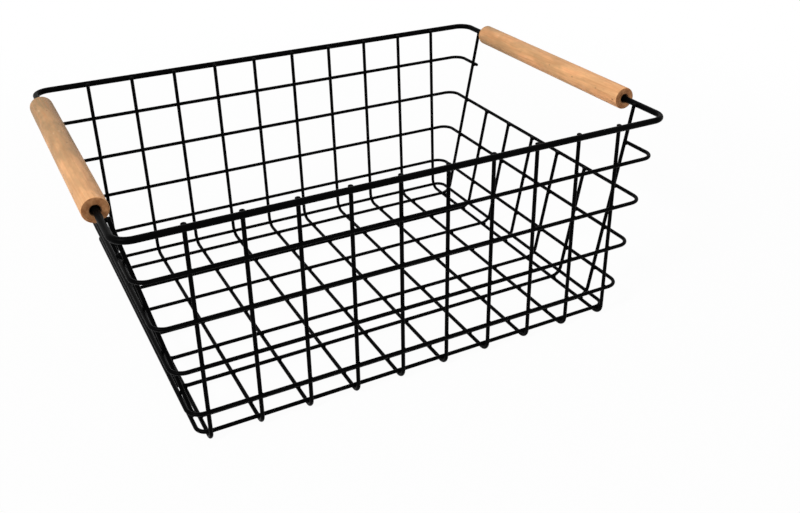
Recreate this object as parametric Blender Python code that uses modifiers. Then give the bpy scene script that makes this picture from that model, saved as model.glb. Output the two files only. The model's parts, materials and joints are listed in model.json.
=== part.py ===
"""Welded wire organizer basket with two wooden carrying handles.

Metres, +Z up. X runs along the basket and Y across it, with the back wall at +Y. The origin is the
middle of the footprint, on the surface that the basket stands on. A wire's path is its centre line.
"""

import math

import bmesh
import bpy
from mathutils import Vector

# Outside size, measured over the rim wire
length_over_rim = 0.245
width_over_rim = 0.180
height_to_rim_top = 0.100

# How far each wall leans in between the rim and the floor
end_wall_lean = 0.0195
side_wall_lean = 0.0018

# Wire stock, and the clearance kept wherever two wires cross
rim_wire = 0.0028
mesh_wire = 0.00175
cross_gap = 0.0003

# Radii of the bends, on the centre line
rim_corner = 0.0070
ring_corner = 0.0060
base_corner = 0.0050
cross_wire_bend = 0.0050
long_wire_bend = 0.0055

# Wires that run across the basket, down the back, over the floor and up the front
cross_wire_count = 10
cross_wire_pitch = 0.0214

# Wires that run along the basket; the outer two reach the rim, the others stop at a ring
long_wire_count = 7
long_wire_pitch = 0.0230
short_wires_stop_at = 1

# Rings around the walls, counted from the top; the first one is open at both hand holes
ring_count = 4
first_ring_drop = 0.0180
ring_pitch = 0.0212
open_ring_stub = 0.0018

# Cut ends: how far the tall ones stop below the top of the rim, and how far the short ones
# stand above their ring
rim_tip_drop = 0.0004
ring_tip_rise = 0.0004

# Handles: bored dowels that turn freely on the end bars of the rim
handle_diameter = 0.0104
handle_length = 0.1240
handle_bore = 0.0040
handle_edge_radius = 0.0006
handle_bore_chamfer = 0.0004
handle_slide = 0.0030  # both have slid this far towards the back

# How finely the curves are divided
mesh_wire_sides = 12
rim_wire_sides = 12
tight_bend_steps = 4
wide_bend_steps = 6
handle_sides = 40
edge_steps = 3

RIM_R = rim_wire / 2
MESH_R = mesh_wire / 2

# The rim's centre line
rim_x = length_over_rim / 2 - RIM_R
rim_y = width_over_rim / 2 - RIM_R
rim_z = height_to_rim_top - RIM_R

# Cross wires stand on a flat of their faceted section; everything else is stacked above them
cross_floor_z = MESH_R * math.cos(math.pi / mesh_wire_sides)
long_floor_z = cross_floor_z + mesh_wire + cross_gap


def side_wall_y(z):
    """Half width of the cross wires' centre lines at height z."""
    top = rim_y - RIM_R - MESH_R - cross_gap
    return top - side_wall_lean * (rim_z - z) / (rim_z - cross_floor_z)


def end_wall_x(z):
    """Half length of the long wires' centre lines at height z."""
    top = rim_x - RIM_R - MESH_R - cross_gap
    return top - end_wall_lean * (rim_z - z) / (rim_z - long_floor_z)


def ring_z(index):
    """Height of a wall ring, counted from 0 at the top."""
    return rim_z - first_ring_drop - index * ring_pitch


def ring_half_size(z):
    """Half length and half width of a ring that lies outside the upright wires at height z."""
    outside = mesh_wire + cross_gap
    return end_wall_x(z) + outside, side_wall_y(z) + outside


def foot_bend(lean, rise, radius):
    """How a wire turns from the floor into a leaning wall: half the turn, and how far back it starts."""
    half_turn = (math.pi / 2 - math.atan2(lean, rise)) / 2
    return half_turn, radius * math.tan(half_turn)


def base_ring_place():
    """Half length, half width and height of the ring that frames the floor.

    It nests in the inner corner of the cross wires' bends, and passes under the long wires' bends.
    """
    half_turn, start = foot_bend(side_wall_lean, rim_z - cross_floor_z, cross_wire_bend)
    nest = cross_wire_bend - mesh_wire - cross_gap
    half_width = side_wall_y(cross_floor_z) - start + nest * math.sin(half_turn)
    height = max(long_floor_z, cross_floor_z + cross_wire_bend - nest * math.cos(half_turn))
    start = foot_bend(end_wall_lean, rim_z - long_floor_z, long_wire_bend)[1]
    under_bend = long_wire_bend + mesh_wire + cross_gap
    drop = long_floor_z + long_wire_bend - height
    half_length = end_wall_x(long_floor_z) - start + math.sqrt(under_bend ** 2 - drop ** 2)
    return half_length, half_width, height


def spread(count, pitch):
    """Evenly spaced places, centred on zero."""
    return [(index - (count - 1) / 2) * pitch for index in range(count)]


def bend(before, corner, after, radius, steps):
    """Points of the arc that rounds one corner of a path."""
    to_before = (before - corner).normalized()
    to_after = (after - corner).normalized()
    half_angle = to_before.angle(to_after) / 2
    centre = corner + (to_before + to_after).normalized() * radius / math.sin(half_angle)
    start = (corner + to_before * radius / math.tan(half_angle) - centre).normalized()
    end = (corner + to_after * radius / math.tan(half_angle) - centre).normalized()
    return [centre + radius * start.slerp(end, step / steps) for step in range(steps + 1)]


def bent_path(corners, radius, steps, closed=False):
    """Straight runs between the corners, joined by arcs."""
    corners = [Vector(corner) for corner in corners]
    count = len(corners)
    inner = range(count) if closed else range(1, count - 1)
    path = [] if closed else [corners[0]]
    for index in inner:
        before, after = corners[index - 1], corners[(index + 1) % count]
        path += bend(before, corners[index], after, radius, steps)
    return path if closed else path + [corners[-1]]


def rounded_tips(path, wire_radius):
    """Add rings near both ends, so that each cut end is domed. Gives the points and their widths."""
    dome = [(0.0, 0.38), (0.28, 0.72), (1.0, 1.0)]
    into_start = (path[1] - path[0]).normalized()
    into_end = (path[-2] - path[-1]).normalized()
    head = [(path[0] + into_start * depth * wire_radius, width) for depth, width in dome]
    tail = [(path[-1] + into_end * depth * wire_radius, width) for depth, width in reversed(dome)]
    return head + [(point, 1.0) for point in path[1:-1]] + tail


def wire_curve(name, path, diameter, sides, closed=False):
    """A round wire swept along a path, with one flat of its section facing down."""
    radius = diameter / 2
    points = [(point, 1.0) for point in path] if closed else rounded_tips(path, radius)
    flat_down = math.pi / sides if sides % 4 == 0 else 0.0
    curve = bpy.data.curves.new(name, "CURVE")
    curve.dimensions = "3D"
    curve.bevel_depth = radius
    curve.bevel_resolution = sides // 2 - 2
    curve.use_fill_caps = True
    spline = curve.splines.new("POLY")
    spline.points.add(len(points) - 1)
    for control, (point, width) in zip(spline.points, points):
        control.co = (*point, 1.0)
        control.radius = width
        control.tilt = flat_down
    spline.use_cyclic_u = closed
    return curve


def place(name, data, collection, material, location=(0.0, 0.0, 0.0)):
    """Put one named piece in the collection."""
    piece = bpy.data.objects.new(name, data)
    piece.location = location
    if not data.materials:
        data.materials.append(material)
    collection.objects.link(piece)
    return piece


def add_material(name, color, roughness, metallic):
    material = bpy.data.materials.new(name)
    material.use_nodes = True
    shader = material.node_tree.nodes["Principled BSDF"]
    shader.inputs["Base Color"].default_value = (*color, 1.0)
    shader.inputs["Roughness"].default_value = roughness
    shader.inputs["Metallic"].default_value = metallic
    return material


def rectangle(half_length, half_width, z):
    """Corners of a loop around the basket, seen from above, anticlockwise."""
    return [(half_length, half_width, z), (-half_length, half_width, z),
            (-half_length, -half_width, z), (half_length, -half_width, z)]


def add_rim(collection, material):
    path = bent_path(rectangle(rim_x, rim_y, rim_z), rim_corner, wide_bend_steps, closed=True)
    curve = wire_curve("rim", path, rim_wire, rim_wire_sides, closed=True)
    return place("rim", curve, collection, material)


def add_closed_rings(collection, material):
    """The wall rings below the hand holes, and the ring that frames the floor."""
    for index in range(1, ring_count):
        z = ring_z(index)
        path = bent_path(rectangle(*ring_half_size(z), z), ring_corner, wide_bend_steps, closed=True)
        name = f"ring_{index + 1}"
        curve = wire_curve(name, path, mesh_wire, mesh_wire_sides, closed=True)
        place(name, curve, collection, material)
    path = bent_path(rectangle(*base_ring_place()), base_corner, wide_bend_steps, closed=True)
    curve = wire_curve("base_ring", path, mesh_wire, mesh_wire_sides, closed=True)
    place("base_ring", curve, collection, material)


def add_open_ring(collection, material):
    """The top ring is two C-shaped wires, which stop just past the outer long wires."""
    z = ring_z(0)
    half_length, half_width = ring_half_size(z)
    stop = spread(long_wire_count, long_wire_pitch)[-1] - open_ring_stub
    for name, side in (("ring_1_front", -1), ("ring_1_back", 1)):
        corners = [(-half_length, side * stop, z), (-half_length, side * half_width, z),
                   (half_length, side * half_width, z), (half_length, side * stop, z)]
        path = bent_path(corners, ring_corner, wide_bend_steps)
        curve = wire_curve(name, path, mesh_wire, mesh_wire_sides)
        place(name, curve, collection, material)


def add_cross_wires(collection, material):
    tip_z = rim_z + RIM_R - rim_tip_drop
    top, low = side_wall_y(tip_z), side_wall_y(cross_floor_z)
    corners = [(0.0, top, tip_z), (0.0, low, cross_floor_z),
               (0.0, -low, cross_floor_z), (0.0, -top, tip_z)]
    path = bent_path(corners, cross_wire_bend, tight_bend_steps)
    curve = wire_curve("cross_wire", path, mesh_wire, mesh_wire_sides)
    for number, x in enumerate(spread(cross_wire_count, cross_wire_pitch), 1):
        place(f"cross_wire_{number:02d}", curve, collection, material, (x, 0.0, 0.0))


def long_wire_curve(name, tip_z):
    top, low = end_wall_x(tip_z), end_wall_x(long_floor_z)
    corners = [(-top, 0.0, tip_z), (-low, 0.0, long_floor_z),
               (low, 0.0, long_floor_z), (top, 0.0, tip_z)]
    path = bent_path(corners, long_wire_bend, wide_bend_steps)
    return wire_curve(name, path, mesh_wire, mesh_wire_sides)


def add_long_wires(collection, material):
    tall = long_wire_curve("long_wire_tall", rim_z + RIM_R - rim_tip_drop)
    short = long_wire_curve("long_wire_short", ring_z(short_wires_stop_at) + MESH_R + ring_tip_rise)
    places = spread(long_wire_count, long_wire_pitch)
    for number, y in enumerate(places, 1):
        curve = tall if number in (1, long_wire_count) else short
        place(f"long_wire_{number}", curve, collection, material, (0.0, y, 0.0))


def handle_profile():
    """Half section of the dowel: down the outside, then up the bore. X is the radius, Z the axis."""
    outer, bore, half = handle_diameter / 2, handle_bore / 2, handle_length / 2
    edge = handle_edge_radius
    turns = [math.pi / 2 * step / edge_steps for step in range(edge_steps + 1)]
    top = [(outer - edge + edge * math.sin(turn), half - edge + edge * math.cos(turn))
           for turn in turns]
    bottom = [(radius, -z) for radius, z in reversed(top)]
    mouth = [(bore + handle_bore_chamfer, half), (bore, half - handle_bore_chamfer)]
    return [mouth[0]] + top + bottom + [(mouth[0][0], -half), (bore, -mouth[1][1]), mouth[1]]


def handle_mesh():
    mesh = bpy.data.meshes.new("handle")
    shape = bmesh.new()
    rail = [shape.verts.new((radius, 0.0, z)) for radius, z in handle_profile()]
    for index, vertex in enumerate(rail):
        shape.edges.new((vertex, rail[(index + 1) % len(rail)]))
    shape.to_mesh(mesh)
    shape.free()
    return mesh


def add_handles(collection, material):
    """Each dowel turns on its own axis, which is the rim's end bar."""
    mesh = handle_mesh()
    for name, side in (("handle_left", -1), ("handle_right", 1)):
        handle = place(name, mesh, collection, material, (side * rim_x, handle_slide, rim_z))
        handle.rotation_euler = (math.pi / 2, 0.0, 0.0)
        turn = handle.modifiers.new("turned", "SCREW")
        turn.axis = "Z"
        turn.angle = 2 * math.pi
        turn.steps = handle_sides
        turn.render_steps = handle_sides
        turn.use_merge_vertices = True
        turn.merge_threshold = 0.00001
        turn.use_smooth_shade = True


def main():
    for thing in list(bpy.data.objects):
        bpy.data.objects.remove(thing, do_unlink=True)
    basket = bpy.data.collections.new("wire_basket")
    bpy.context.scene.collection.children.link(basket)
    black = add_material("black_coated_wire", (0.012, 0.012, 0.013), 0.38, 0.0)
    beech = add_material("beech", (0.62, 0.40, 0.22), 0.55, 0.0)
    add_rim(basket, black)
    add_open_ring(basket, black)
    add_closed_rings(basket, black)
    add_cross_wires(basket, black)
    add_long_wires(basket, black)
    add_handles(basket, beech)


main()
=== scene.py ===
"""Dresses a welded wire basket: coated wires bent one by one, weld beads, and turned beech handles.

Laid out as a Blender add-on and run as a script. Lengths are in metres, +Z is up, X runs along the
basket and Y across it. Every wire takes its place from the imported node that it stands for.
"""

import json
import math
from collections import namedtuple

import bmesh
import bpy
from mathutils import Matrix, Vector


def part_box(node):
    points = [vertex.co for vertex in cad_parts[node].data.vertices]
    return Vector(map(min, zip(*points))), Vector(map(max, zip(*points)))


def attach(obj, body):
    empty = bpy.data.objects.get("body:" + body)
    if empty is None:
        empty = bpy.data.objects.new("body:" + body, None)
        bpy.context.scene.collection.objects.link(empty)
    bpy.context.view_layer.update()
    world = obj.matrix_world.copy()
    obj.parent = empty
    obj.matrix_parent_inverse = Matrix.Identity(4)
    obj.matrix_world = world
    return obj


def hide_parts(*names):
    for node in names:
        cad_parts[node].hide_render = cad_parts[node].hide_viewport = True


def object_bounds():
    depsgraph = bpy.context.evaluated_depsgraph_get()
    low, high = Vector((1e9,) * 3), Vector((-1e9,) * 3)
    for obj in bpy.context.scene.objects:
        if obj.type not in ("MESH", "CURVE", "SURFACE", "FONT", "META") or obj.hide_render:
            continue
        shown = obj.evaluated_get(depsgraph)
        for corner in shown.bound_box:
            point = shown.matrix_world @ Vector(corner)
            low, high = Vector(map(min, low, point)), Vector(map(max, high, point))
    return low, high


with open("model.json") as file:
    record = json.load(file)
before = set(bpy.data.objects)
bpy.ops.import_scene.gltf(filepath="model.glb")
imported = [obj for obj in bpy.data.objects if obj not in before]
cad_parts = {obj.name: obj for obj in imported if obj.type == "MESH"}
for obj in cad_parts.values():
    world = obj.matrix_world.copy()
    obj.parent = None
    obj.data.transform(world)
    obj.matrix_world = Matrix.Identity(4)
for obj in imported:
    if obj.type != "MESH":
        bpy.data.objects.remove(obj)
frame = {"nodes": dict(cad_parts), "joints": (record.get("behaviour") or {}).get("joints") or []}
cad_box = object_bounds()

bl_info = {
    "name": "Wire Basket Dressing",
    "version": (1, 0, 0),
    "blender": (4, 5, 0),
    "location": "3D View > Sidebar > Basket",
    "description": "Bends the coated wires of a basket, welds them, and turns its beech handles",
    "category": "Object",
}

CROSS_WIRES = sorted(node for node in frame["nodes"] if node.startswith("cross_wire_"))
LONG_WIRES = sorted(node for node in frame["nodes"] if node.startswith("long_wire_"))
CLOSED_RINGS = ("ring_2", "ring_3", "ring_4")
OPEN_RINGS = (("ring_1_front", -1), ("ring_1_back", 1))
HANDLES = (("handle_left", "handle_left_spin"), ("handle_right", "handle_right_spin"))
BOXES = {node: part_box(node) for node in frame["nodes"]}
UP = Vector((0.0, 0.0, 1.0))
MILLIMETRES = 1000.0

# The picture that the camera's settings are given for, in pixels
PICTURE_WIDTH, PICTURE_HEIGHT = 800, 513

# The floor's paper lies this far under the wires, so that the two never fight for one surface
FLOOR_GAP = 0.00004

# The share by which a distance measured on a mesh may miss the one that was asked for
NEAR = 0.01

# The wood that a handle is turned from: its pith in millimetres from the axis, how far that drifts
# for each millimetre towards the front, how warm the wood is in the middle, how much warmer and
# lighter it is painted for each millimetre towards the back and towards the right, and how rosy its
# patches are. Those two gradients are painted light: each handle is painted brighter towards the
# key lamp, at the front and the left
Blank = namedtuple("Blank", "pith drift warmth warmer_back warmer_right rosiness")
BLANKS = {
    "handle_left": Blank(pith=(31.0, 19.0), drift=(0.030, -0.018), warmth=0.30,
                         warmer_back=-0.0095, warmer_right=-0.030, rosiness=0.10),
    "handle_right": Blank(pith=(-24.0, 33.0), drift=(-0.022, 0.036), warmth=0.72,
                          warmer_back=-0.0068, warmer_right=0.0, rosiness=0.42),
}

# Slow waves that sanding leaves in a handle: radians for each millimetre along it, waves around it,
# where each wave starts, and its share of the whole
SanderWave = namedtuple("SanderWave", "along around start share")
SANDER_WAVES = (SanderWave(0.21, 2, 0.0, 1.0), SanderWave(0.083, -1, 1.7, 1.0),
                SanderWave(0.47, 3, 0.0, 0.5))


# Settings that a user would change

class WireSettings(bpy.types.PropertyGroup):
    rim_wire: bpy.props.FloatProperty(
        name="Rim wire", description="Diameter of the coated rim wire",
        default=0.0028, min=0.001, max=0.006, precision=4, unit="LENGTH")
    mesh_wire: bpy.props.FloatProperty(
        name="Mesh wire", description="Diameter of every other coated wire",
        default=0.00175, min=0.0005, max=0.004, precision=5, unit="LENGTH")
    rim_corner: bpy.props.FloatProperty(
        name="Rim corner", description="Radius of the rim's bends, on the centre line",
        default=0.0070, precision=4, unit="LENGTH")
    ring_corner: bpy.props.FloatProperty(
        name="Ring corner", description="Radius of the wall rings' bends, on the centre line",
        default=0.0060, precision=4, unit="LENGTH")
    base_corner: bpy.props.FloatProperty(
        name="Base corner", description="Radius of the bends of the ring that frames the floor",
        default=0.0050, precision=4, unit="LENGTH")
    cross_wire_bend: bpy.props.FloatProperty(
        name="Cross wire bend", description="Radius of the bend from the floor into a side wall",
        default=0.0050, precision=4, unit="LENGTH")
    long_wire_bend: bpy.props.FloatProperty(
        name="Long wire bend", description="Radius of the bend from the floor into an end wall",
        default=0.0055, precision=4, unit="LENGTH")
    sides: bpy.props.IntProperty(
        name="Sides", description="Sides of a mesh wire's section", default=20, min=8, max=48)
    rim_sides: bpy.props.IntProperty(
        name="Rim sides", description="Sides of the rim wire's section", default=32, min=8, max=64)
    bend_steps: bpy.props.IntProperty(
        name="Bend steps", description="Divisions of each bend", default=16, min=4, max=48)
    tip_steps: bpy.props.IntProperty(
        name="Tip steps", description="Rings in each rounded tip", default=5, min=2, max=12)


class WeldSettings(bpy.types.PropertyGroup):
    spread: bpy.props.FloatProperty(
        name="Spread", description="Half width of a bead, as a share of the thinner wire's radius",
        default=1.10, min=0.5, max=3.0)
    thickness: bpy.props.FloatProperty(
        name="Thickness", description="Half thickness of a bead, from one wire towards the other",
        default=0.00060, precision=5, unit="LENGTH")
    tip_spread: bpy.props.FloatProperty(
        name="Tip spread", description="Half width of a swollen tip, as a share of the wire's radius",
        default=1.35, min=1.0, max=2.0)
    tip_height: bpy.props.FloatProperty(
        name="Tip height", description="Height of the swelling at a cut tip",
        default=0.0013, precision=4, unit="LENGTH")
    around: bpy.props.IntProperty(
        name="Around", description="Faces around a bead", default=8, min=6, max=12)
    tip_around: bpy.props.IntProperty(
        name="Tip around", description="Faces around a swollen tip", default=14, min=8, max=24)
    along: bpy.props.IntProperty(
        name="Along", description="Faces from pole to pole of a bead", default=6, min=4, max=10)


class HandleSettings(bpy.types.PropertyGroup):
    bore: bpy.props.FloatProperty(
        name="Bore", description="Diameter of the hole that the rim runs through",
        default=0.0040, precision=4, unit="LENGTH")
    edge: bpy.props.FloatProperty(
        name="Edge", description="Radius turned on both outer edges",
        default=0.0006, precision=4, unit="LENGTH")
    mouth: bpy.props.FloatProperty(
        name="Bore mouth", description="Break on the edges of the bore",
        default=0.0003, precision=4, unit="LENGTH")
    mouth_steps: bpy.props.IntProperty(
        name="Mouth steps", description="Divisions of the bore's broken edge", default=2, min=1, max=6)
    sides: bpy.props.IntProperty(
        name="Sides", description="Divisions around a handle", default=96, min=24, max=192)
    slices: bpy.props.IntProperty(
        name="Slices", description="Divisions along a handle", default=110, min=8, max=300)
    edge_steps: bpy.props.IntProperty(
        name="Edge steps", description="Divisions of a rounded edge", default=6, min=2, max=12)
    waver: bpy.props.FloatProperty(
        name="Waver", description="How far sanding leaves the surface from a true cylinder",
        default=0.00006, precision=5, unit="LENGTH")


class CoatSettings(bpy.types.PropertyGroup):
    black: bpy.props.FloatVectorProperty(
        name="Black", description="Colour of the powder coat",
        subtype="COLOR", size=3, default=(0.0008, 0.0008, 0.0009), min=0.0, max=1.0)
    rubbed: bpy.props.FloatVectorProperty(
        name="Rubbed", description="Colour of the coat where it is thin or handled",
        subtype="COLOR", size=3, default=(0.0024, 0.0023, 0.0023), min=0.0, max=1.0)
    roughness: bpy.props.FloatProperty(
        name="Roughness", description="Middle roughness of the semi-gloss coat",
        default=0.30, min=0.0, max=1.0, subtype="FACTOR")
    gloss: bpy.props.FloatProperty(
        name="Gloss", description="Strength of the coat's mirror part",
        default=0.017, min=0.0, max=1.0, precision=3, subtype="FACTOR")


class BeechSettings(bpy.types.PropertyGroup):
    tan: bpy.props.FloatVectorProperty(
        name="Tan", description="Cooler, greyer patches of the wood",
        subtype="COLOR", size=3, default=(0.375, 0.232, 0.110), min=0.0, max=1.0)
    peach: bpy.props.FloatVectorProperty(
        name="Peach", description="Warmer patches of the wood",
        subtype="COLOR", size=3, default=(0.975, 0.520, 0.238), min=0.0, max=1.0)
    rose: bpy.props.FloatVectorProperty(
        name="Rose", description="Redder patches of the wood",
        subtype="COLOR", size=3, default=(0.880, 0.370, 0.160), min=0.0, max=1.0)
    dull: bpy.props.FloatVectorProperty(
        name="Dull", description="Greyer clouds in the wood",
        subtype="COLOR", size=3, default=(0.450, 0.275, 0.125), min=0.0, max=1.0)
    # Painted highlights: pale specks put into the wood's colour where light would glint
    pale: bpy.props.FloatVectorProperty(
        name="Pale", description="Small bright rays that catch the light",
        subtype="COLOR", size=3, default=(0.950, 0.640, 0.400), min=0.0, max=1.0)
    late: bpy.props.FloatVectorProperty(
        name="Late wood", description="The darker line that closes each year's growth",
        subtype="COLOR", size=3, default=(0.590, 0.250, 0.095), min=0.0, max=1.0)
    fleck: bpy.props.FloatVectorProperty(
        name="Fleck", description="Ray flecks and pores",
        subtype="COLOR", size=3, default=(0.270, 0.125, 0.050), min=0.0, max=1.0)
    # Partly the end grain's own brown and partly painted shade on the sawn ends
    end_grain_and_shade: bpy.props.FloatVectorProperty(
        name="End grain", description="Brown of the sawn ends, which drink in the wax",
        subtype="COLOR", size=3, default=(0.225, 0.078, 0.022), min=0.0, max=1.0)
    # Painted shade: near black painted inside the bore and round its mouth
    bore_shade: bpy.props.FloatVectorProperty(
        name="Bore wall", description="Scorched wood inside the bore",
        subtype="COLOR", size=3, default=(0.020, 0.012, 0.008), min=0.0, max=1.0)
    ring_width: bpy.props.FloatProperty(
        name="Ring width", description="Growth in one year",
        default=0.0021, precision=4, unit="LENGTH")
    roughness: bpy.props.FloatProperty(
        name="Roughness", description="Middle roughness of the waxed wood",
        default=0.52, min=0.0, max=1.0, subtype="FACTOR")
    gloss: bpy.props.FloatProperty(
        name="Gloss", description="Strength of the wax's mirror part",
        default=0.22, min=0.0, max=1.0, subtype="FACTOR")


class StageSettings(bpy.types.PropertyGroup):
    floor_color: bpy.props.FloatVectorProperty(
        name="Floor", description="Colour of the paper sweep",
        subtype="COLOR", size=3, default=(0.86, 0.86, 0.86), min=0.0, max=1.0)
    floor_radius: bpy.props.FloatProperty(
        name="Floor radius", description="Reach of the floor from the basket",
        default=6.0, unit="LENGTH")
    floor_sides: bpy.props.IntProperty(
        name="Floor sides", description="Sides of the floor's outline", default=96, min=12, max=256)
    own_white: bpy.props.FloatProperty(
        name="Own white", description="Share of plain white in the floor beside the basket",
        default=0.96, min=0.0, max=1.0, subtype="FACTOR")
    shade_reach: bpy.props.FloatProperty(
        name="Shade reach", description="Distance at which the floor has gone wholly white",
        default=0.55, unit="LENGTH")
    shade_core: bpy.props.FloatProperty(
        name="Shade core", description="Share of the reach within which the shadow keeps its strength",
        default=0.45, min=0.0, max=1.0, subtype="FACTOR")
    sky: bpy.props.FloatProperty(
        name="Sky", description="Even light from all round", default=0.37, min=0.0, max=2.0)
    camera_place: bpy.props.FloatVectorProperty(
        name="Camera place", description="Where the camera stands",
        size=3, default=(-0.1613, -0.3881, 0.2507), unit="LENGTH", precision=4)
    azimuth: bpy.props.FloatProperty(
        name="Azimuth", description="How far the camera looks from +Y towards +X",
        default=math.radians(28.40), subtype="ANGLE")
    elevation: bpy.props.FloatProperty(
        name="Elevation", description="How far the camera looks down",
        default=math.radians(26.65), subtype="ANGLE")
    roll: bpy.props.FloatProperty(
        name="Roll", description="Turn of the camera about its own line of sight",
        default=math.radians(-0.40), subtype="ANGLE")
    focal_pixels: bpy.props.FloatProperty(
        name="Focal length", description="Focal length in pixels of the picture",
        default=950.3, subtype="PIXEL")
    axis_pixel: bpy.props.FloatVectorProperty(
        name="Axis pixel", description="Where the camera's axis meets the picture, from its top left",
        size=2, default=(430.0, 215.0), subtype="COORDINATES")


# Places read from the frame

def middle(node):
    low, high = BOXES[node]
    return (low + high) / 2


def wall_lean():
    """How far the end and side walls lean in for each metre of height, read from two rings."""
    upper, lower = BOXES["ring_2"][1], BOXES["ring_4"][1]
    rise = upper.z - lower.z
    return (upper.x - lower.x) / rise, (upper.y - lower.y) / rise


def loop_place(node, radius):
    """Half length, half width and height of a loop's centre line."""
    high = BOXES[node][1]
    return high.x - radius, high.y - radius, middle(node).z


class Upright:
    """The centre line of one U-shaped wire. It spans the basket along X or Y, and its ends lean out."""

    def __init__(self, node, span_axis, radius):
        low, high = BOXES[node]
        self.node, self.centre, self.span_axis = node, middle(node), span_axis
        self.tip, self.floor, self.lean = high.z, low.z + radius, wall_lean()[span_axis]
        self.tip_span = high[span_axis] - radius * (1 - self.lean)

    def span(self, height):
        """Half the distance between its two straight runs, at a height."""
        return self.tip_span - self.lean * (self.tip - height)

    def place(self, span, height):
        """The point of the basket that lies this far from the middle of the wire's own plane."""
        point = self.centre.copy()
        point[self.span_axis], point.z = span, height
        return point

    def corners(self):
        """The ends of its three straight runs, from one tip to the other."""
        top, foot = self.span(self.tip), self.span(self.floor)
        return [self.place(-top, self.tip), self.place(-foot, self.floor),
                self.place(foot, self.floor), self.place(top, self.tip)]

    def bend_centre(self, former):
        """Half span and height of the middle of the bend from the floor into the wall."""
        half_turn = (math.pi / 2 - math.atan(self.lean)) / 2
        return self.span(self.floor) - former * math.tan(half_turn), self.floor + former


def cross_uprights(radius):
    return [Upright(node, 1, radius) for node in CROSS_WIRES]


def long_uprights(radius):
    return [Upright(node, 0, radius) for node in LONG_WIRES]


# Making and keeping pieces

def facing(direction):
    """The turn that takes +Z to a direction."""
    return UP.rotation_difference(direction).to_matrix().to_4x4()


class WireBench:
    """Shapes one round wire as a bending bench does: it feeds straight lengths and bends them."""

    def __init__(self, place, heading, radius, sides):
        self.shape = bmesh.new()
        self.place, self.heading, self.radius = Vector(place), Vector(heading).normalized(), radius
        bmesh.ops.create_circle(self.shape, segments=sides, radius=radius,
                                matrix=Matrix.Translation(self.place) @ facing(self.heading))
        self.ring = self.shape.edges[:]

    def ring_verts(self):
        return list({vertex for edge in self.ring for vertex in edge.verts})

    def extrude(self, offset, width=1.0):
        """One more ring, moved on by the offset, with its width changed by a factor."""
        made = bmesh.ops.extrude_edge_only(self.shape, edges=self.ring)["geom"]
        self.ring = [part for part in made if isinstance(part, bmesh.types.BMEdge)]
        at_place = Matrix.Translation(-self.place)
        bmesh.ops.scale(self.shape, verts=self.ring_verts(), vec=(width,) * 3, space=at_place)
        bmesh.ops.translate(self.shape, verts=self.ring_verts(), vec=offset)
        self.place = self.place + offset

    def feed(self, length):
        self.extrude(self.heading * length)

    def bend(self, turn, former, axis, steps):
        """Turn the wire about a former that lies beside it."""
        centre = self.place + axis.cross(self.heading) * former
        made = bmesh.ops.spin(self.shape, geom=self.ring_verts() + self.ring, cent=centre,
                              axis=axis, angle=turn, steps=steps, use_duplicate=False)
        self.ring = [part for part in made["geom_last"] if isinstance(part, bmesh.types.BMEdge)]
        rotation = Matrix.Rotation(turn, 3, axis)
        self.place = centre + rotation @ (self.place - centre)
        self.heading = rotation @ self.heading

    def follow(self, corners, end, former, steps):
        """Feed up to each corner, bend round it, and feed on to the end."""
        for corner, after in zip(corners, corners[1:] + [end]):
            new_heading = (after - corner).normalized()
            turn = self.heading.angle(new_heading)
            axis = self.heading.cross(new_heading).normalized()
            self.feed((corner - self.place).length - former * math.tan(turn / 2))
            self.bend(turn, former, axis, steps)
        self.feed((end - self.place).length)

    def round_tip(self, steps):
        """Dome the open end, so that the coat wraps a cut wire."""
        width = 1.0
        for step in range(1, steps + 1):
            before, after = (math.pi / 2 * (step - back) / steps for back in (1, 0))
            advance = self.radius * (math.sin(after) - math.sin(before))
            if step == steps:
                pole = self.place + self.heading * advance
                bmesh.ops.pointmerge(self.shape, verts=self.ring_verts(), merge_co=pole)
                return
            self.extrude(self.heading * advance, math.cos(after) / width)
            width = math.cos(after)

    def turn_back(self, first_ring, place, heading):
        """Take up the wire again at its first ring, facing the other way."""
        self.ring, self.place, self.heading = first_ring, place, -heading


def bend_loop(corners, radius, former, sides, steps):
    """A wire that closes on itself, started in the middle of its last side."""
    corners = [Vector(corner) for corner in corners]
    seam = (corners[-1] + corners[0]) / 2
    bench = WireBench(seam, corners[0] - corners[-1], radius, sides)
    bench.follow(corners, seam, former, steps)
    bmesh.ops.remove_doubles(bench.shape, verts=bench.shape.verts, dist=radius * NEAR)
    return bench.shape


def bend_open_wire(corners, radius, former, sides, steps, tip_steps):
    """A wire with two rounded tips, whose ends are its first and last corner."""
    corners = [Vector(corner) for corner in corners]
    into = (corners[1] - corners[0]).normalized()
    out = (corners[-1] - corners[-2]).normalized()
    start = corners[0] + into * radius
    bench = WireBench(start, into, radius, sides)
    first_ring = bench.ring
    bench.follow(corners[1:-1], corners[-1] - out * radius, former, steps)
    bench.round_tip(tip_steps)
    bench.turn_back(first_ring, start, into)
    bench.round_tip(tip_steps)
    return bench.shape


def keep(name, shape, material, body, slot, *nodes):
    """Store a finished shape as a piece that rides on a body, and hide the nodes that it stands for."""
    bmesh.ops.recalc_face_normals(shape, faces=shape.faces)
    for face in shape.faces:
        face.smooth = True
    data = bpy.data.meshes.new(name)
    shape.to_mesh(data)
    shape.free()
    data.materials.append(material)
    piece = bpy.data.objects.new(name, data)
    bpy.context.scene.collection.objects.link(piece)
    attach(piece, body)
    if nodes:
        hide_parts(*nodes)


def keep_wire(context, node, shape):
    keep("coated_" + node, shape, coat(context), "basket", "coated_wire", node)


def keep_open_wire(context, node, corners, former):
    """Bend a mesh wire that has two cut tips, and store it."""
    wire = context.scene.basket_wire
    keep_wire(context, node, bend_open_wire(corners, wire.mesh_wire / 2, former, wire.sides,
                                            wire.bend_steps, wire.tip_steps))


def rectangle(half_length, half_width, height):
    """Corners of a loop around the basket, seen from above, anticlockwise."""
    return [(half_length, half_width, height), (-half_length, half_width, height),
            (-half_length, -half_width, height), (half_length, -half_width, height)]


# Shader recipes

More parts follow.
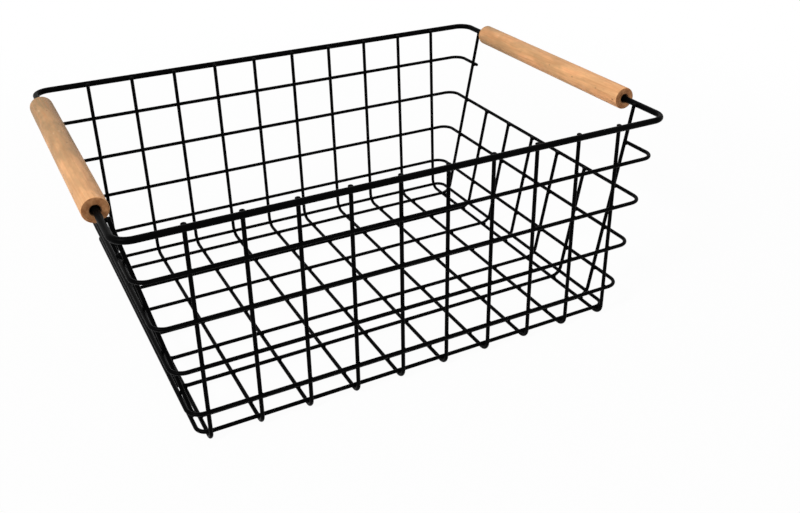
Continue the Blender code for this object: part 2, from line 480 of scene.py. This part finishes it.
class Field:
    """A shader value written as arithmetic. Each operator adds the Math node that it stands for."""

    def __init__(self, recipe, made, output):
        self.recipe, self.made, self.socket = recipe, made, made.outputs[output]

    def output(self, name):
        return Field(self.recipe, self.made, name)

    def math(self, operation, *values, clamp=False):
        sockets = dict(enumerate(values))
        return self.recipe.node("ShaderNodeMath", {"operation": operation, "use_clamp": clamp}, sockets)

    def __add__(self, other):
        return self.math("ADD", self, other)

    __radd__ = __add__

    def __sub__(self, other):
        return self.math("SUBTRACT", self, other)

    def __rsub__(self, other):
        return self.math("SUBTRACT", other, self)

    def __mul__(self, other):
        return self.math("MULTIPLY", self, other)

    __rmul__ = __mul__

    def __truediv__(self, other):
        return self.math("DIVIDE", self, other)

    def __pow__(self, other):
        return self.math("POWER", self, other)

    def __abs__(self):
        return self.math("ABSOLUTE", self)

    def fraction(self):
        return self.math("FRACT", self)

    def clamped(self):
        return self.math("ADD", self, 0.0, clamp=True)

    def rises(self, low, high):
        """0 below the first value, 1 above the second, and smooth between them."""
        settings = {"interpolation_type": "SMOOTHSTEP"}
        sockets = {"Value": self, "From Min": low, "From Max": high}
        return self.recipe.node("ShaderNodeMapRange", settings, sockets)


class Recipe:
    """The nodes of one material, or of the world."""

    def __init__(self, owner):
        owner.use_nodes = True
        self.owner, self.tree = owner, owner.node_tree

    def plug(self, socket, value):
        if isinstance(value, Field):
            self.tree.links.new(value.socket, socket)
        elif socket.type == "RGBA":
            socket.default_value = (*value[:3], 1.0)
        else:
            socket.default_value = value

    def node(self, kind, settings=None, sockets=None, output=None):
        """Add a node: its settings first, then the values or links of its sockets."""
        made = self.tree.nodes.new(kind)
        for name, value in (settings or {}).items():
            setattr(made, name, value)
        for name, value in (sockets or {}).items():
            open_sockets = [socket for socket in made.inputs if socket.enabled and socket.name == name]
            self.plug(made.inputs[name] if isinstance(name, int) else open_sockets[0], value)
        shown = [index for index, socket in enumerate(made.outputs) if socket.enabled]
        return Field(self, made, shown[0] if output is None else output)

    def blend(self, factor, first, second):
        sockets = {"Factor": factor, "A": first, "B": second}
        return self.node("ShaderNodeMix", {"data_type": "RGBA"}, sockets)

    def noise(self, place, scale=1.0, detail=2.0, roughness=0.5, distortion=0.0):
        sockets = {"Vector": place, "Scale": scale, "Detail": detail, "Roughness": roughness,
                   "Distortion": distortion}
        return self.node("ShaderNodeTexNoise", None, sockets)

    def stretched(self, place, across, along):
        """The place, scaled by one number across the grain and another along it."""
        return self.node("ShaderNodeMapping", None, {"Vector": place, "Scale": (across, along, across)})

    def figure(self, place, across, along, **look):
        """Noise with so many waves for each millimetre across the grain and along it."""
        return self.noise(self.stretched(place, across, along), **look)

    def spots(self, place, across, along, core, reach):
        """Scattered drops: 1 up to the core of each, and 0 past its reach, in shares of their spacing."""
        sockets = {"Vector": self.stretched(place, across, along), "Scale": 1.0}
        return 1 - self.node("ShaderNodeTexVoronoi", None, sockets).rises(core, reach)

    def seen_or_mirrored(self):
        """1 for a ray from the camera, off a shiny thing or through a clear one, and 0 for any other."""
        path = self.node("ShaderNodeLightPath")
        return (path + path.output("Is Glossy Ray") + path.output("Is Transmission Ray")).clamped()

    def finish(self, **sockets):
        """Set or link the shader's own sockets. Underscores stand for the spaces in their names."""
        for name, value in sockets.items():
            self.plug(self.tree.nodes["Principled BSDF"].inputs[name.replace("_", " ")], value)
        return self.owner


def coat(context):
    """The one powder coat that every wire and bead wears."""
    name = "semi_gloss_black_coat"
    return bpy.data.materials.get(name) or mix_powder_coat(name, context.scene.basket_coat)


def mix_powder_coat(name, settings):
    """Semi-gloss black powder coat: an orange-peel skin, a little paler where hands rub it.

    Its noises are given in waves for each metre.
    """
    powder = Recipe(bpy.data.materials.new(name))
    place = powder.node("ShaderNodeTexCoord", output="Object")
    drift = powder.noise(place, 70.0, detail=3.0)
    speckle = powder.noise(place, 900.0, detail=2.0)
    peel = powder.noise(place, 2600.0, detail=1.5)
    rubbed = (drift.rises(0.50, 0.72) * 0.6 + speckle.rises(0.60, 0.78) * 0.4).clamped()
    skin = peel * 0.7 + speckle * 0.3
    bump = powder.node("ShaderNodeBump", None, {"Strength": 0.30, "Distance": 0.00004, "Height": skin})
    return powder.finish(
        Base_Color=powder.blend(rubbed, settings.black, settings.rubbed),
        Roughness=settings.roughness + 0.10 * drift + 0.06 * speckle,
        Specular_IOR_Level=settings.gloss,
        Normal=bump)


def mix_beech(name, settings, centre, radius, half_length, bore_radius, blank):
    """Steamed beech, turned along the grain. Worked out in millimetres about the handle's own axis."""
    radius, half_length, bore_radius = (
        size * MILLIMETRES for size in (radius, half_length, bore_radius))
    wood = Recipe(bpy.data.materials.new(name))
    world = wood.node("ShaderNodeTexCoord", output="Object")
    place = wood.node("ShaderNodeMapping", None, {
        "Vector": world, "Location": centre * -MILLIMETRES, "Scale": (MILLIMETRES,) * 3})
    parts = wood.node("ShaderNodeSeparateXYZ", None, {"Vector": place})
    x, along, z = parts, parts.output("Y"), parts.output("Z")
    off_axis = (x * x + z * z) ** 0.5

    late = late_wood(wood, place, x, along, z, settings.ring_width * MILLIMETRES, blank)
    patches = wood.figure(place, 0.16, 0.040, detail=3.0, roughness=0.6).rises(0.30, 0.70) * 0.6 - 0.3
    # The wood's own warmth and random patches, plus painted light: a gradient that paints the handle
    # brighter towards the key lamp
    warm = (blank.warmth + along * blank.warmer_back + x * blank.warmer_right + patches).clamped()
    rosy = wood.figure(place, 0.21, 0.048, detail=3.0, distortion=0.3).rises(0.44, 0.66)
    clouds = wood.figure(place, 0.42, 0.13, detail=2.0, distortion=0.4).rises(0.48, 0.72)
    streaks = wood.figure(place, 1.25, 0.035, detail=2.0).rises(0.50, 0.72)
    fibre = wood.figure(place, 5.5, 0.16, detail=3.0, roughness=0.65)
    flecks = wood.spots(place, 1.9, 0.42, 0.05, 0.20) * fibre.rises(0.45, 0.60)
    # Painted highlights: scattered pale specks that stand in for glints of light
    painted_glints = wood.spots(place, 0.26, 0.085, 0.060, 0.150)
    pits = wood.spots(place, 0.21, 0.100, 0.045, 0.110)

    # The sawn ends are painted darker: partly the end grain's own brown, partly painted shade on the
    # end faces. They are darker in random blotches, and darker still towards their outer edge
    end = abs(along).rises(half_length - 0.30, half_length - 0.05)
    soaked = wood.figure(place, 0.34, 0.34, detail=3.0).rises(0.36, 0.62) * 0.26
    end_edge_darkening = off_axis.rises(radius - 0.9, radius - 0.1) * 0.12
    # Painted shade: the bore and a thin ring round its mouth are painted almost black
    inside = 1 - off_axis.rises(bore_radius + 0.05, bore_radius + 0.55)

    color = wood.blend(warm, settings.tan, settings.peach)
    for share, tone in (
            (rosy * blank.rosiness * warm, settings.rose),
            (clouds * 0.32, settings.dull),
            (late * 0.26, settings.late),
            (streaks * (0.37 + blank.rosiness * 0.43), settings.late),
            (fibre.rises(0.52, 0.70) * 0.16, settings.late),
            (flecks * 0.20, settings.fleck),
            (painted_glints * 0.24, settings.pale),
            (pits * 0.70, settings.fleck),
            # Partly end grain and partly painted shade
            (end * (soaked + end_edge_darkening + 0.62), settings.end_grain_and_shade),
            (inside * 0.88, settings.bore_shade)):
        color = wood.blend(share, color, tone)

    height = fibre * 0.35 + late * 0.15 - flecks * 0.30 - pits * 1.5
    bump = wood.node("ShaderNodeBump", None, {"Strength": 0.45, "Distance": 0.00012, "Height": height})
    return wood.finish(
        Base_Color=color,
        Roughness=settings.roughness + 0.12 * fibre - 0.05 * late + 0.15 * end,
        Specular_IOR_Level=settings.gloss,
        Normal=bump)


def late_wood(wood, place, x, along, z, ring_width, blank):
    """1 in the dark line that closes each year's growth. Its rings waver about the blank's pith."""
    waver = wood.figure(place, 0.11, 0.022) * 3.2
    from_pith = x - blank.pith[0] + along * blank.drift[0]
    beside_pith = z - blank.pith[1] + along * blank.drift[1]
    depth = (from_pith * from_pith + beside_pith * beside_pith) ** 0.5 + waver
    year = (depth / ring_width).fraction()
    return year.rises(0.45, 0.93) * (1 - year.rises(0.94, 1.0))


def mix_floor(settings):
    """Pale paper that keeps the basket's shadow, and fades to plain white away from it."""
    floor = Recipe(bpy.data.materials.new("pale_floor"))
    floor.finish(Base_Color=settings.floor_color, Roughness=0.9, Specular_IOR_Level=0.1)
    place = floor.node("ShaderNodeTexCoord", output="Object")
    away = floor.node("ShaderNodeVectorMath", {"operation": "LENGTH"}, {"Vector": place}, "Value")
    fade = away.rises(settings.shade_reach * settings.shade_core, settings.shade_reach)
    share = settings.own_white + (1 - settings.own_white) * fade
    white = floor.node("ShaderNodeEmission", None, {"Color": (1.0, 1.0, 1.0), "Strength": 1.0})
    lit = Field(floor, floor.tree.nodes["Principled BSDF"], "BSDF")
    surface = floor.node("ShaderNodeMixShader", None, {
        0: floor.seen_or_mirrored() * share, 1: lit, 2: white})
    floor.plug(floor.tree.nodes["Material Output"].inputs["Surface"], surface)
    return floor.owner


def light_world(settings):
    """Even light for the basket, and plain white wherever it is seen or mirrored."""
    sky = Recipe(bpy.data.worlds.new("studio"))
    bpy.context.scene.world = sky.owner
    background = sky.tree.nodes["Background"]
    sky.plug(background.inputs["Color"], (1.0, 1.0, 1.0))
    sky.plug(background.inputs["Strength"], settings.sky + (1 - settings.sky) * sky.seen_or_mirrored())


# Operators

class BASKET_OT_bend_rim(bpy.types.Operator):
    """Bend the heavy rim wire and close it on itself"""
    bl_idname = "basket.bend_rim"
    bl_label = "Bend Rim"

    def execute(self, context):
        wire = context.scene.basket_wire
        radius = wire.rim_wire / 2
        corners = rectangle(*loop_place("rim", radius))
        shape = bend_loop(corners, radius, wire.rim_corner, wire.rim_sides, wire.bend_steps)
        keep_wire(context, "rim", shape)
        return {"FINISHED"}


class BASKET_OT_bend_rings(bpy.types.Operator):
    """Bend the closed wall rings, and the ring that frames the floor"""
    bl_idname = "basket.bend_rings"
    bl_label = "Bend Rings"

    def execute(self, context):
        wire = context.scene.basket_wire
        radius = wire.mesh_wire / 2
        formers = {node: wire.ring_corner for node in CLOSED_RINGS}
        formers["base_ring"] = wire.base_corner
        for node, former in formers.items():
            corners = rectangle(*loop_place(node, radius))
            keep_wire(context, node, bend_loop(corners, radius, former, wire.sides, wire.bend_steps))
        return {"FINISHED"}


class BASKET_OT_bend_open_ring(bpy.types.Operator):
    """Bend the two C-shaped wires of the top ring, which stop at the hand holes"""
    bl_idname = "basket.bend_open_ring"
    bl_label = "Bend Open Ring"

    def execute(self, context):
        wire = context.scene.basket_wire
        radius = wire.mesh_wire / 2
        for node, side in OPEN_RINGS:
            low, high = BOXES[node]
            near, far = sorted((abs(low.y), abs(high.y)))
            half_length, half_width, z = high.x - radius, far - radius, middle(node).z
            corners = [(-half_length, side * near, z), (-half_length, side * half_width, z),
                       (half_length, side * half_width, z), (half_length, side * near, z)]
            keep_open_wire(context, node, corners, wire.ring_corner)
        return {"FINISHED"}


class BASKET_OT_bend_cross_wires(bpy.types.Operator):
    """Bend each wire that runs down the back wall, over the floor and up the front wall"""
    bl_idname = "basket.bend_cross_wires"
    bl_label = "Bend Cross Wires"

    def execute(self, context):
        wire = context.scene.basket_wire
        for upright in cross_uprights(wire.mesh_wire / 2):
            keep_open_wire(context, upright.node, upright.corners(), wire.cross_wire_bend)
        return {"FINISHED"}


class BASKET_OT_bend_long_wires(bpy.types.Operator):
    """Bend each wire that runs up an end wall, along the floor and up the other end"""
    bl_idname = "basket.bend_long_wires"
    bl_label = "Bend Long Wires"

    def execute(self, context):
        wire = context.scene.basket_wire
        for upright in long_uprights(wire.mesh_wire / 2):
            keep_open_wire(context, upright.node, upright.corners(), wire.long_wire_bend)
        return {"FINISHED"}


class BASKET_OT_weld_wires(bpy.types.Operator):
    """Set a small fused bead at every place where two wires cross, and swell each cut tip"""
    bl_idname = "basket.weld_wires"
    bl_label = "Weld Wires"

    def execute(self, context):
        wire = context.scene.basket_wire
        weld = context.scene.basket_weld
        mesh_radius, rim_radius = wire.mesh_wire / 2, wire.rim_wire / 2
        crossings = (floor_crossings(mesh_radius)
                     + wall_crossings(cross_uprights(mesh_radius), mesh_radius, rim_radius)
                     + wall_crossings(long_uprights(mesh_radius), mesh_radius, rim_radius)
                     + base_ring_crossings(wire))
        beads = bmesh.new()
        for first, first_radius, second in crossings:
            add_bead(beads, first, first_radius, second, mesh_radius, weld)
        for upright in cross_uprights(mesh_radius) + long_uprights(mesh_radius):
            swell_tips(beads, upright, mesh_radius, weld)
        keep("weld_beads", beads, coat(context), "basket", "coated_wire")
        return {"FINISHED"}


def floor_crossings(radius):
    """Where long wires lie on cross wires.

    Each crossing is a point on one wire's centre line, that wire's radius, and the nearest point on
    the other's centre line.
    """
    return [((cross.centre.x, long.centre.y, cross.floor), radius,
             (cross.centre.x, long.centre.y, long.floor))
            for long in long_uprights(radius) for cross in cross_uprights(radius)]


def wall_crossings(uprights, radius, rim_radius):
    """Where wires meet the rim and the rings that they reach, on both walls that they run up.

    The open ring's halves mirror each other, so one of them stands for both.
    """
    crossings = []
    for loop, loop_radius in (("rim", rim_radius), ("ring_1_back", radius),
                              *((ring, radius) for ring in CLOSED_RINGS)):
        place = loop_place(loop, loop_radius)
        for upright in uprights:
            reach, height = place[upright.span_axis], place[2]
            if upright.tip < height:
                continue
            for side in (-1, 1):
                crossings.append((upright.place(side * reach, height), loop_radius,
                                  upright.place(side * upright.span(height), height)))
    return crossings


def base_ring_crossings(wire):
    """Where the floor's ring nests in the cross wires' bends and passes under the long wires' bends."""
    radius = wire.mesh_wire / 2
    place = loop_place("base_ring", radius)
    crossings = []
    for uprights, former in ((cross_uprights(radius), wire.cross_wire_bend),
                             (long_uprights(radius), wire.long_wire_bend)):
        for upright in uprights:
            reach, height = place[upright.span_axis], place[2]
            centre = Vector(upright.bend_centre(former))
            outward = (Vector((reach, height)) - centre).normalized()
            wire_span, wire_height = centre + outward * former
            for side in (-1, 1):
                crossings.append((upright.place(side * reach, height), radius,
                                  upright.place(side * wire_span, wire_height)))
    return crossings


def add_bead(beads, first, first_radius, second, second_radius, weld):
    """A flat drop of fused metal, centred in the gap between two wires."""
    apart = Vector(second) - Vector(first)
    gap = apart.length - first_radius - second_radius
    centre = Vector(first) + apart.normalized() * (first_radius + gap / 2)
    add_drop(beads, centre, apart, weld.spread * second_radius, weld.thickness, weld.around, weld.along)


def swell_tips(beads, upright, radius, weld):
    """A flattened drop round both cut tips, which the shears spread and the coat ran thick on."""
    half_height = weld.tip_height / 2
    for side in (-1, 1):
        tip = upright.place(side * upright.tip_span, upright.tip)
        heading = (tip - upright.place(side * upright.span(0.0), 0.0)).normalized()
        add_drop(beads, tip - heading * half_height, heading, weld.tip_spread * radius, half_height,
                 weld.tip_around, weld.along)


def add_drop(drops, centre, short_way, half_width, half_height, around, along):
    """A ball that is flattened one way."""
    flat = Matrix.Diagonal((half_width, half_width, half_height, 1.0))
    bmesh.ops.create_uvsphere(drops, u_segments=around, v_segments=along, radius=1.0,
                              matrix=Matrix.Translation(centre) @ facing(short_way) @ flat)


class BASKET_OT_turn_handles(bpy.types.Operator):
    """Turn both beech handles, bore them for the rim and round their ends"""
    bl_idname = "basket.turn_handles"
    bl_label = "Turn Handles"

    def execute(self, context):
        handle = context.scene.basket_handle
        for node, joint_name in HANDLES:
            joint = next(joint for joint in frame["joints"] if joint["name"] == joint_name)
            low, high = BOXES[node]
            radius, half_length = (high.z - low.z) / 2, (high.y - low.y) / 2
            centre = Vector(joint["pos_m"])
            centre.y = middle(node).y
            shape = turn_handle(centre, radius, half_length, handle)
            wood = mix_beech("beech_" + node, context.scene.basket_beech, centre, radius, half_length,
                             handle.bore / 2, BLANKS[node])
            keep("turned_" + node, shape, wood, node, "handle_wood", node)
        return {"FINISHED"}


def turn_handle(centre, radius, half_length, handle):
    """A bored dowel: its half section spun about the joint's axis, with every edge broken."""
    shape = bmesh.new()
    bore = handle.bore / 2
    section = [shape.verts.new(centre + Vector((0.0, y, distance)))
               for distance, y in ((radius, -half_length), (radius, half_length),
                                   (bore, half_length), (bore, -half_length))]
    rail = [shape.edges.new((section[index - 1], section[index])) for index in range(len(section))]
    bmesh.ops.spin(shape, geom=section + rail, cent=centre, axis=(0.0, 1.0, 0.0), angle=2 * math.pi,
                   steps=handle.sides, use_merge=True, use_duplicate=False)
    bmesh.ops.recalc_face_normals(shape, faces=shape.faces)
    for distance, width, steps in ((radius, handle.edge, handle.edge_steps),
                                   (bore, handle.mouth, handle.mouth_steps)):
        corner = [edge for edge in shape.edges if is_end_circle(edge, centre, distance, half_length)]
        bmesh.ops.bevel(shape, geom=corner, offset=width, offset_type="OFFSET", affect="EDGES",
                        segments=steps, profile=0.5, material=-1)
    lengthwise = [edge for edge in shape.edges if is_long_outside(edge, centre, radius, half_length)]
    bmesh.ops.subdivide_edges(shape, edges=lengthwise, cuts=handle.slices, use_grid_fill=True)
    leave_sanding_marks(shape, centre, radius, handle.waver)
    return shape


def across_axis(vertex, centre):
    """The way from the handle's axis straight out to a vertex."""
    return Vector((vertex.co.x - centre.x, 0.0, vertex.co.z - centre.z))


def lies_at(edge, centre, distance):
    """Whether both ends of an edge are this far from the handle's axis."""
    return all(abs(across_axis(vertex, centre).length - distance) < distance * NEAR
               for vertex in edge.verts)


def is_end_circle(edge, centre, distance, half_length):
    """Whether an edge is part of the circle at this distance from the axis, at either end."""
    start, end = (vertex.co.y - centre.y for vertex in edge.verts)
    return lies_at(edge, centre, distance) and abs(start + end) > 2 * half_length * (1 - NEAR)


def is_long_outside(edge, centre, radius, half_length):
    """Whether an edge runs along the outside."""
    start, end = (vertex.co.y for vertex in edge.verts)
    return lies_at(edge, centre, radius) and abs(start - end) > half_length


def leave_sanding_marks(shape, centre, radius, waver):
    """Move the skin in by up to the waver, in slow waves. The rounded edges and the bore stay."""
    whole = sum(wave.share for wave in SANDER_WAVES)
    for vertex in shape.verts:
        across = across_axis(vertex, centre)
        if across.length < radius * (1 - 2 * NEAR):
            continue
        angle, along = math.atan2(across.z, across.x), vertex.co.y * MILLIMETRES
        swing = sum(wave.share * math.sin(along * wave.along + wave.around * angle + wave.start)
                    for wave in SANDER_WAVES)
        vertex.co -= across.normalized() * waver * (1 + swing / whole) / 2


class BASKET_OT_set_stage(bpy.types.Operator):
    """Lay the pale floor, set the soft lamps and the camera"""
    bl_idname = "basket.set_stage"
    bl_label = "Set Stage"

    # Each lamp's place and diameter, and its power in watts
    lamps = {
        "key_softbox": ((-1.85, -0.85, 1.95), 0.55, 45.0),
        "front_fill": ((0.55, -1.50, 0.80), 1.20, 1.6),
        "back_fill": ((0.50, 1.30, 1.10), 1.00, 1.6),
    }

    def execute(self, context):
        stage = context.scene.basket_stage
        sweep = bmesh.new()
        bmesh.ops.create_circle(sweep, cap_ends=True, cap_tris=True, segments=stage.floor_sides,
                                radius=stage.floor_radius,
                                matrix=Matrix.Translation(UP * (cad_box[0].z - FLOOR_GAP)))
        data = bpy.data.meshes.new("pale_floor")
        sweep.to_mesh(data)
        sweep.free()
        data.materials.append(mix_floor(stage))
        floor = bpy.data.objects.new("pale_floor", data)
        context.scene.collection.objects.link(floor)
        light_world(stage)
        for name, (place, size, watts) in self.lamps.items():
            hang_lamp(name, Vector(place), size, watts)
        set_camera(stage)
        context.scene.view_settings.view_transform = "Standard"
        return {"FINISHED"}


def hang_lamp(name, place, size, watts):
    data = bpy.data.lights.new(name, "AREA")
    data.shape, data.size, data.energy = "DISK", size, watts
    lamp = bpy.data.objects.new(name, data)
    lamp.location = place
    aim = (cad_box[0] + cad_box[1]) / 2 - place
    lamp.rotation_mode = "QUATERNION"
    lamp.rotation_quaternion = aim.to_track_quat("-Z", "Y")
    bpy.context.scene.collection.objects.link(lamp)


def set_camera(stage):
    """Stand the camera where the picture was taken. Its shift keeps the picture's framing."""
    data = bpy.data.cameras.new("picture_camera")
    data.sensor_width = 36.0
    data.lens = stage.focal_pixels / PICTURE_WIDTH * data.sensor_width
    data.shift_x = (PICTURE_WIDTH / 2 - stage.axis_pixel[0]) / PICTURE_WIDTH
    data.shift_y = (stage.axis_pixel[1] - PICTURE_HEIGHT / 2) / PICTURE_WIDTH
    data.clip_start, data.clip_end = 0.01, 50.0
    camera = bpy.data.objects.new("picture_camera", data)
    turn = (Matrix.Rotation(-stage.azimuth, 4, "Z")
            @ Matrix.Rotation(math.pi / 2 - stage.elevation, 4, "X")
            @ Matrix.Rotation(stage.roll, 4, "Z"))
    camera.matrix_world = Matrix.Translation(stage.camera_place) @ turn
    bpy.context.scene.collection.objects.link(camera)
    bpy.context.scene.camera = camera


# Panel and registration

class BASKET_PT_dressing(bpy.types.Panel):
    """The steps that dress the basket, in order"""
    bl_idname = "BASKET_PT_dressing"
    bl_label = "Wire Basket"
    bl_space_type = "VIEW_3D"
    bl_region_type = "UI"
    bl_category = "Basket"

    def draw(self, context):
        for step in STEPS:
            self.layout.operator(step.bl_idname)


STEPS = (
    BASKET_OT_bend_rim,
    BASKET_OT_bend_rings,
    BASKET_OT_bend_open_ring,
    BASKET_OT_bend_cross_wires,
    BASKET_OT_bend_long_wires,
    BASKET_OT_weld_wires,
    BASKET_OT_turn_handles,
    BASKET_OT_set_stage,
)
SETTINGS = {
    "basket_wire": WireSettings,
    "basket_weld": WeldSettings,
    "basket_handle": HandleSettings,
    "basket_coat": CoatSettings,
    "basket_beech": BeechSettings,
    "basket_stage": StageSettings,
}


def register():
    for group in (*SETTINGS.values(), *STEPS, BASKET_PT_dressing):
        bpy.utils.register_class(group)
    for name, group in SETTINGS.items():
        setattr(bpy.types.Scene, name, bpy.props.PointerProperty(type=group))


def unregister():
    for name in SETTINGS:
        delattr(bpy.types.Scene, name)
    for group in (BASKET_PT_dressing, *reversed(STEPS), *SETTINGS.values()):
        bpy.utils.unregister_class(group)


def main():
    register()
    for step in STEPS:
        family, verb = step.bl_idname.split(".")
        getattr(getattr(bpy.ops, family), verb)()


if __name__ == "__main__":
    main()
